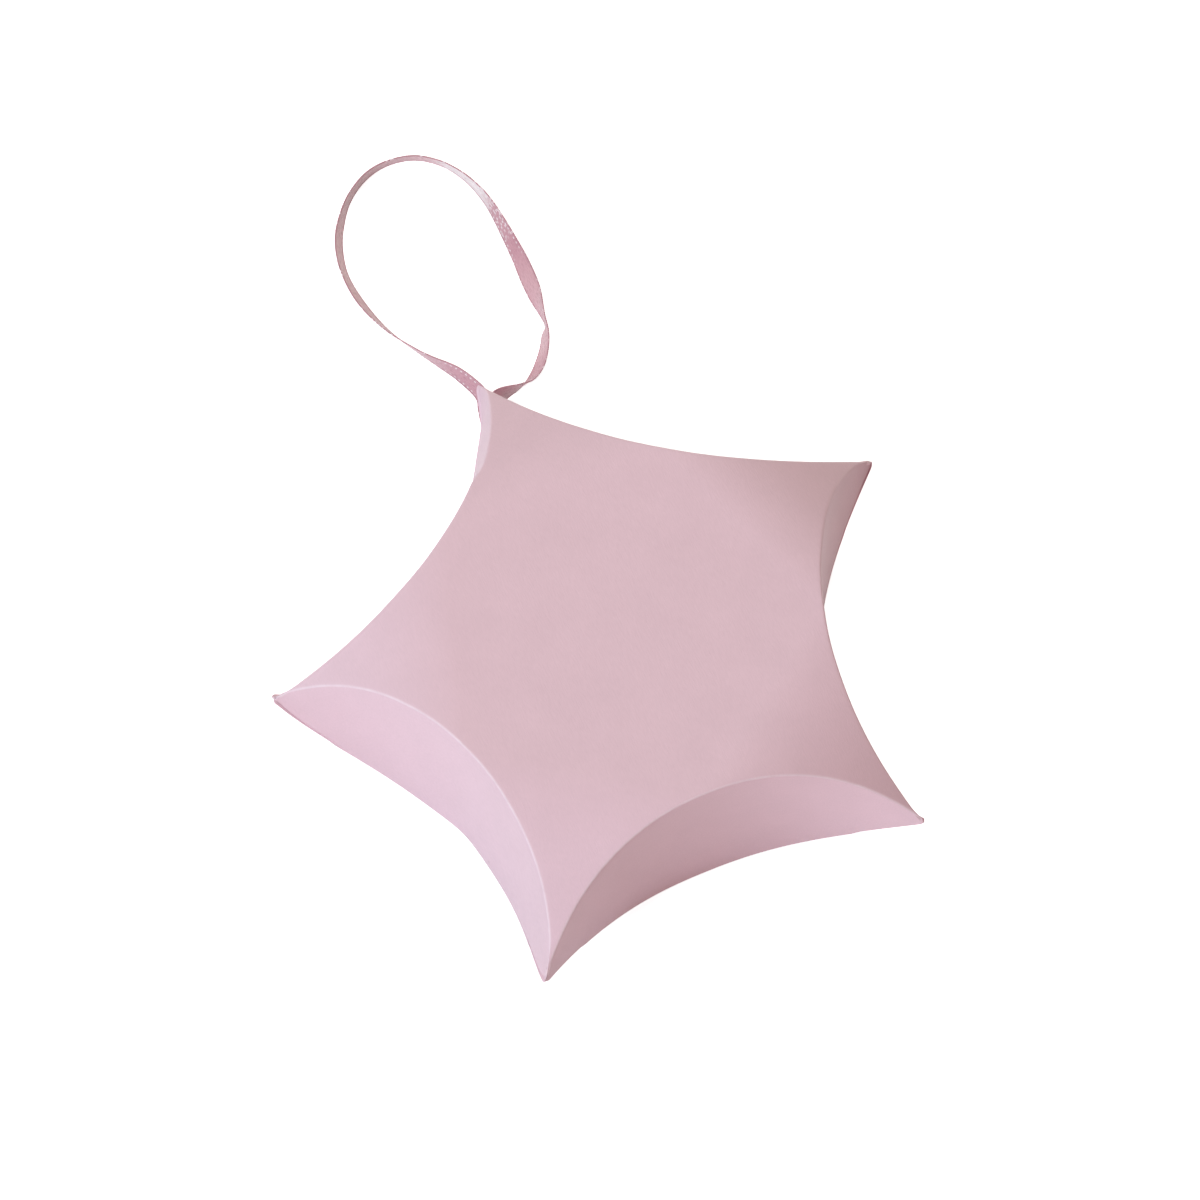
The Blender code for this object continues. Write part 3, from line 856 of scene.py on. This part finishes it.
# Painted glint colour, for pale stitches near the edges.
SATIN_GLINT_COLOUR = (0.96, 0.90, 0.93, 1)
# Painted highlight colour, where the satin would catch the lamp.
SATIN_SHINE_COLOUR = (0.97, 0.90, 0.92, 1)
SATIN_ROUGHNESS = 0.27
SATIN_RELIEF = 0.4
FLOAT_DEPTH = 0.00003
SATIN_GLOSS = {"Specular IOR Level": 0.7, "Sheen Weight": 0.1, "Sheen Roughness": 0.4,
               "Anisotropic": 0.8, "Anisotropic Rotation": 0.25}
THREAD_SCALE = 2.2
STREAK_SCALE = (1.2, 9.0, 1.0)
TIE_SCALE = 6.0
# Stretch of the painted highlight along the ribbon, in millimetres, with specks breaking it up.
SHINE_STRETCH = (84.6, 8.4)
SHINE_SPECK_SCALE = (2.2, 3.5, 1.0)
SHINE_STRENGTH = 2.0
SHINE_SPECK_STRENGTH = 1.6
MOST_SHINE = 0.85
# Stretches along the ribbon, in millimetres, that get painted shade.
PAINTED_SHADE_STRETCHES = ((18.0, 14.0), (95.0, 9.0), (125.0, 8.0))
PAINTED_SHADE_STRENGTH = 1.6
# Stretches along the ribbon, in millimetres, that get painted glints in stitches and scattered
# cells.
GLINT_STRETCHES = ((94.0, 8.0), (24.0, 5.0))
GLINT_STRENGTH = 2.0
GLINT_INSET = 0.45
GLINT_HALF_HEIGHT = 0.2
GLINT_STEP = 0.9
GLINT_LENGTH_SHARE = 0.4
SCATTER_STRETCH = (91.0, 7.0)
SCATTER_CELL = (0.42, 0.36, 1.0)
SCATTER_CHANCE = 0.2
SCATTER_STRENGTH = 0.7


def satin_group():
    """Fine lengthwise satin floats, tied down at staggered points; the place is in millimetres."""
    tree, given, made = start_group(
        "Shader", "satin_weave", {"Place": "Vector"},
        {"Height": "Float", "Tone": "Float", "Roughness": "Float"})
    place = given.outputs["Place"]
    threads = add_node(tree, "ShaderNodeTexWave",
                       {"Vector": place, "Scale": THREAD_SCALE, "Distortion": 0.6,
                        "Detail": 1.0, "Detail Scale": 3.0},
                       wave_type="BANDS", bands_direction="Y")
    streaks = noise(tree, place, STREAK_SCALE, detail=3.0)
    ties = add_node(tree, "ShaderNodeTexVoronoi",
                    {"Vector": place, "Scale": TIE_SCALE, "Randomness": 0.35})
    tied = TreeNumber(tree, ties.outputs["Distance"]).mapped(0.1, 0.3, 0.6, 1.0)
    feed(made, {"Height": TreeNumber(tree, threads.outputs["Fac"]) * tied, "Tone": streaks,
                "Roughness": streaks.mapped(0.3, 0.7, SATIN_ROUGHNESS - 0.06,
                                            SATIN_ROUGHNESS + 0.10)})
    return tree


satin_weave = satin_group()


def cell_chance(tree, place, cell):
    """A fixed chance from 0 to 1 for each small cell of a place."""
    cells = add_node(tree, "ShaderNodeVectorMath", {0: place, 1: cell}, operation="SNAP")
    chance = add_node(tree, "ShaderNodeTexWhiteNoise", {"Vector": cells.outputs[0]},
                      noise_dimensions="3D")
    return TreeNumber(tree, chance.outputs["Value"])


def satin_light_group():
    """Where painted glints, a painted highlight and painted shade go on the satin's colour; the
    place is in millimetres, and a stretch is its middle along the ribbon and half its length."""
    tree, given, made = start_group("Shader", "satin_light", {"Place": "Vector"},
                                    {"Glint": "Float", "Shine": "Float", "Painted Shade": "Float"})
    place = given.outputs["Place"]
    parts = add_node(tree, "ShaderNodeSeparateXYZ", {"Vector": place})
    along = TreeNumber(tree, parts.outputs["X"])
    across = TreeNumber(tree, parts.outputs["Y"])

    def nearness(middle, half_length):
        """1 in the middle of a stretch, falling to 0 at its ends."""
        return 1 - smaller((along - middle).math("ABSOLUTE") / half_length, 1.0)

    half_width = RIBBON_WIDTH * MILLIMETRES / 2
    # Painted glints: pale stitches in a row near each edge, and scattered pale cells, along given
    # stretches.
    from_edge = half_width - (across - half_width).math("ABSOLUTE")
    off_row = smaller((from_edge - GLINT_INSET).math("ABSOLUTE"), GLINT_HALF_HEIGHT)
    in_row = 1 - off_row / GLINT_HALF_HEIGHT
    off_stitch = ((along / GLINT_STEP).math("FRACT") - 0.5).math("ABSOLUTE")
    on_stitch = off_stitch.math("LESS_THAN", GLINT_LENGTH_SHARE / 2)
    caught = sum(nearness(*stretch) for stretch in GLINT_STRETCHES)
    stitches = in_row * on_stitch * smaller(caught * GLINT_STRENGTH, 1.0)
    scattered = cell_chance(tree, place, SCATTER_CELL).math("LESS_THAN", SCATTER_CHANCE)
    in_scatter = smaller(nearness(*SCATTER_STRETCH) * GLINT_STRENGTH, 1.0)
    # Painted shade: a deeper colour along given stretches, where the ribbon turns from the light.
    painted_shade = sum(smaller(nearness(*stretch) * PAINTED_SHADE_STRENGTH, 1.0) for stretch in PAINTED_SHADE_STRETCHES)
    # Painted highlight: a pale patch along one stretch, broken by specks.
    off_shine = 1 - nearness(*SHINE_STRETCH)
    specks = noise(tree, place, SHINE_SPECK_SCALE) * SHINE_SPECK_STRENGTH
    shine = (1 - off_shine * off_shine) * SHINE_STRENGTH - specks
    feed(made, {"Glint": larger(stitches, scattered * in_scatter * SCATTER_STRENGTH),
                "Shine": held_between(shine, 0.0, MOST_SHINE), "Painted Shade": smaller(painted_shade, 1.0)})
    return tree


satin_light = satin_light_group()


def satin_material(name, uv_map):
    """Pink satin whose floats run along the ribbon and stretch its highlights across them; painted
    shade, a painted highlight and painted glints go into its colour.
    """
    made, tree, shader = start_material(name, SATIN_GLOSS)
    threads_way = add_node(tree, "ShaderNodeTangent", direction_type="UV_MAP", uv_map=uv_map)
    place = add_node(tree, "ShaderNodeUVMap", uv_map=uv_map)
    weave, light = [add_node(tree, "ShaderNodeGroup", {"Place": place.outputs[0]}, node_tree=group)
                    for group in (satin_weave, satin_light)]
    colour = mixed(tree, weave.outputs["Tone"], SATIN_SHADE_COLOUR, SATIN_COLOUR)
    # Mixes in the painted shade.
    colour = mixed(tree, light.outputs["Painted Shade"], colour, SATIN_PAINTED_SHADE_COLOUR)
    # Mixes in the painted highlight and the painted glints.
    colour = mixed(tree, light.outputs["Shine"], colour, SATIN_SHINE_COLOUR)
    colour = mixed(tree, light.outputs["Glint"], colour, SATIN_GLINT_COLOUR)
    raised = add_node(tree, "ShaderNodeBump",
                      {"Height": weave.outputs["Height"], "Strength": SATIN_RELIEF,
                       "Distance": FLOAT_DEPTH})
    feed(shader, {"Base Color": colour, "Roughness": weave.outputs["Roughness"],
                  "Normal": raised.outputs[0], "Tangent": threads_way.outputs[0]})
    return made


satin = satin_material("ribbon_satin", "weave")
stations = ribbon_stations()
band_half = RIBBON_WIDTH / 2 - SELVEDGE_RADIUS
rings = []
lengths = [0.0]
for number, (middle, way, width) in enumerate(stations):
    if number:
        lengths.append(lengths[-1] + (middle - stations[number - 1][0]).length)
    ring = []
    for out in (-1, 1):
        for step in range(STEPS_ACROSS + 1):
            across = (2 * step / STEPS_ACROSS - 1) * -out
            thinned = 1 - EDGE_THINNING * across ** EDGE_THINNING_POWER
            ring.append(middle + width * (across * band_half)
                        + way.cross(width) * (out * RIBBON_THICKNESS / 2 * thinned))
    rings.append(ring)


def band_weave_place(row, column):
    """Millimetres along the band and across it, the same on both of its faces."""
    half = STEPS_ACROSS + 1
    step = column % (2 * half)
    across = step / STEPS_ACROSS if step < half else 1 - (step - half) / STEPS_ACROSS
    return lengths[row] * MILLIMETRES, across * RIBBON_WIDTH * MILLIMETRES


ribbon = closed_tube("ribbon_band", rings, band_weave_place, satin)
ribbon.data.set_sharp_from_angle(angle=BAND_SHARP_ANGLE)

THREAD_COLOUR = (0.56, 0.28, 0.34, 1)
# Painted glint colour for a few beads chosen at random.
THREAD_GLINT_COLOUR = (0.92, 0.78, 0.84, 1)
BEAD_STEP = 0.00034
BEAD_SHAPE = (0.9, 0.9, 1.5)


def thread_material():
    """The selvedge's thread, a shade darker than the satin, with a few beads painted pale as
    glints.
    """
    made, tree, shader = start_material("selvedge_thread", {"Specular IOR Level": 0.8})
    place = add_node(tree, "ShaderNodeTexCoord").outputs["Object"]
    glints = cell_chance(tree, place, (BEAD_STEP,) * 3).mapped(0.86, 0.92, 0.0, 1.0)
    feed(shader, {"Base Color": mixed(tree, glints, THREAD_COLOUR, THREAD_GLINT_COLOUR),
                  "Roughness": glints.mapped(0.0, 1.0, 0.5, 0.22)})
    return made


def selvedge_tree():
    """Small beads set end to end along each edge line."""
    tree, given, made = start_group(
        "Geometry", "selvedge_beads",
        {"Geometry": "Geometry", "Bead Step": "Float", "Radius": "Float", "Thread": "Material"},
        {"Geometry": "Geometry"})
    line = add_node(tree, "GeometryNodeMeshToCurve", {"Mesh": given.outputs["Geometry"]})
    even = add_node(tree, "GeometryNodeResampleCurve",
                    {"Curve": line.outputs[0], "Length": given.outputs["Bead Step"]},
                    mode="LENGTH")
    bead = add_node(tree, "GeometryNodeMeshUVSphere",
                    {"Segments": 8, "Rings": 5, "Radius": given.outputs["Radius"]})
    long_bead = add_node(tree, "GeometryNodeTransform",
                         {"Geometry": bead.outputs["Mesh"], "Scale": BEAD_SHAPE})
    tangent = tree.nodes.new("GeometryNodeInputTangent")
    along = add_node(tree, "FunctionNodeAlignRotationToVector", {"Vector": tangent.outputs[0]},
                     axis="Z")
    strung = add_node(tree, "GeometryNodeInstanceOnPoints",
                      {"Points": even.outputs[0], "Instance": long_bead.outputs[0],
                       "Rotation": along.outputs[0]})
    real = add_node(tree, "GeometryNodeRealizeInstances", {"Geometry": strung.outputs[0]})
    smooth = add_node(tree, "GeometryNodeSetShadeSmooth", {"Geometry": real.outputs[0]})
    coloured = add_node(tree, "GeometryNodeSetMaterial",
                        {"Geometry": smooth.outputs[0], "Material": given.outputs["Thread"]})
    feed(made, {0: coloured.outputs[0]})
    return tree


places = []
edges = []
for sign in (-1, 1):
    for number, (middle, way, width) in enumerate(stations):
        if number:
            edges.append((len(places) - 1, len(places)))
        places.append(middle + width * (sign * band_half))
mesh = bpy.data.meshes.new("ribbon_selvedge")
mesh.from_pydata(places, edges, [])
selvedge = put("ribbon_selvedge", mesh)
run_tree(selvedge, selvedge_tree(),
         {"Bead Step": BEAD_STEP, "Radius": SELVEDGE_RADIUS, "Thread": thread_material()})
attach(selvedge, "box")
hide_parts("ribbon_loop")
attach(ribbon, "box")


# Knot
# The two strands end in a small overhand knot inside the box, drawn up against the back panel.
# It is the same satin, gathered into a rounded strand.
KNOT_SIZE = 0.0007
KNOT_HALF_HEIGHT = 0.0006
KNOT_STRAND_RADIUS = 0.0004
KNOT_TAIL = 0.0025
KNOT_TAIL_STEPS = 8
KNOT_OPEN_SHARE = 0.16
KNOT_STEPS = 120
KNOT_AROUND = 14
PLEATS = 5
PLEAT_DEPTH = 0.07
PLEAT_TURN = 0.12
KNOT_WEAVE_STEP = (0.12, 0.18)


def knot_places():
    """An overhand knot as a line: a trefoil with one lobe left open, where its tails cross."""
    made = []
    for step in range(KNOT_STEPS + 1):
        turn_share = KNOT_OPEN_SHARE / 2 + (1 - KNOT_OPEN_SHARE) * step / KNOT_STEPS
        angle = math.pi + 2 * math.pi * turn_share
        x = KNOT_SIZE * (math.sin(angle) + 2 * math.sin(2 * angle))
        y = KNOT_SIZE * (math.cos(angle) - 2 * math.cos(2 * angle))
        made.append(Vector((x, y, -KNOT_HALF_HEIGHT * math.sin(3 * angle))))
    tail_step = KNOT_TAIL / KNOT_TAIL_STEPS
    first = (made[0] - made[1]).normalized() * tail_step
    final = (made[-1] - made[-2]).normalized() * tail_step
    steps = range(1, KNOT_TAIL_STEPS + 1)
    return ([made[0] + first * step for step in reversed(steps)] + made
            + [made[-1] + final * step for step in steps])


def knot_weave_place(row, column):
    return row * KNOT_WEAVE_STEP[0], column * KNOT_WEAVE_STEP[1]


strand_end = (hole_frame().inverted() @ Vector(RIBBON_ROUTE[-1][:3])).z
seat = strand_end + LAYER_GAP + KNOT_HALF_HEIGHT + KNOT_STRAND_RADIUS
knot_frame = hole_frame() @ Matrix.Translation((0, 0, seat))
line = knot_places()
rings = []
side_way = UPWARD
for number, place in enumerate(line):
    way = way_at(line, number)
    side_way = (side_way - way * side_way.dot(way)).normalized()
    up_way = way.cross(side_way)
    ring = []
    for step in range(KNOT_AROUND):
        angle = 2 * math.pi * step / KNOT_AROUND
        pleat = 1 + PLEAT_DEPTH * math.cos(PLEATS * angle + number * PLEAT_TURN)
        out = side_way * math.cos(angle) + up_way * math.sin(angle)
        ring.append(knot_frame @ (place + out * (KNOT_STRAND_RADIUS * pleat)))
    rings.append(ring)
knot = closed_tube("ribbon_overhand", rings, knot_weave_place, satin)
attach(knot, "box")
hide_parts("ribbon_knot")


# Table, light and camera
# A plain white table under three soft lamps and a dim, warm backdrop, and a long lens that
# looks down from the front left.
FLOOR_COLOUR = (0.85, 0.85, 0.85, 1)
FLOOR_GLOW = 0.84
FLOOR_LEVEL = -0.00005
LAMP_DISTANCE = 0.9
LAMP_SIZE = 0.5


def white_floor():
    """A matte table that also glows white where it is seen, straight on or in a reflection."""
    made, tree, shader = start_material("white_floor")
    tree.nodes.remove(shader)
    matte = add_node(tree, "ShaderNodeBsdfDiffuse", {"Color": FLOOR_COLOUR})
    ray = tree.nodes.new("ShaderNodeLightPath")
    direct, mirrored, through = [TreeNumber(tree, ray.outputs["Is " + kind + " Ray"])
                                 for kind in ("Camera", "Glossy", "Transmission")]
    seen = larger(larger(direct, mirrored), through)
    glow = add_node(tree, "ShaderNodeEmission",
                    {"Color": (1, 1, 1, 1), "Strength": seen * FLOOR_GLOW})
    both = add_node(tree, "ShaderNodeAddShader", {0: matte.outputs[0], 1: glow.outputs[0]})
    feed(tree.nodes["Material Output"], {"Surface": both.outputs[0]})
    return made


shape = bmesh.new()
bmesh.ops.create_grid(shape, x_segments=2, y_segments=2, size=4.0,
                      matrix=Matrix.Translation((0, 0, FLOOR_LEVEL)))
floor = object_from(shape, "floor", white_floor())

world = bpy.data.worlds.new("studio")
world.use_nodes = True
bpy.context.scene.world = world
feed(world.node_tree.nodes["Background"], {"Color": (0.12, 0.11, 0.08, 1), "Strength": 1.0})

for name, azimuth, elevation, power, colour in (
        ("window_lamp", 190, 35, 5.55, (0.83, 0.915, 1.0)),
        ("front_lamp", 270, 20, 1.5, (1.0, 0.60, 0.61)),
        ("back_lamp", 60, 55, 3.67, (1.0, 0.88, 0.83))):
    turn, rise = math.radians(azimuth), math.radians(elevation)
    towards = Vector((math.cos(turn) * math.cos(rise), math.sin(turn) * math.cos(rise),
                      math.sin(rise)))
    light = bpy.data.lights.new(name, "AREA")
    light.shape = "DISK"
    light.size = LAMP_SIZE
    light.energy = power
    light.color = colour
    lamp = put(name, light)
    lamp.location = towards * LAMP_DISTANCE
    lamp.rotation_euler = (-towards).to_track_quat("-Z", "Y").to_euler()

camera_data = bpy.data.cameras.new("camera")
camera_data.sensor_width = 36.0
camera_data.lens = 240.0
camera = put("camera", camera_data)
camera.matrix_world = Matrix((
    (0.913467, 0.366108, -0.177604, -0.207205),
    (-0.406874, 0.815700, -0.411202, -0.472548),
    (-0.005673, 0.447882, 0.894075, 1.065343),
    (0, 0, 0, 1)))
bpy.context.scene.camera = camera
bpy.context.scene.view_settings.view_transform = "Standard"
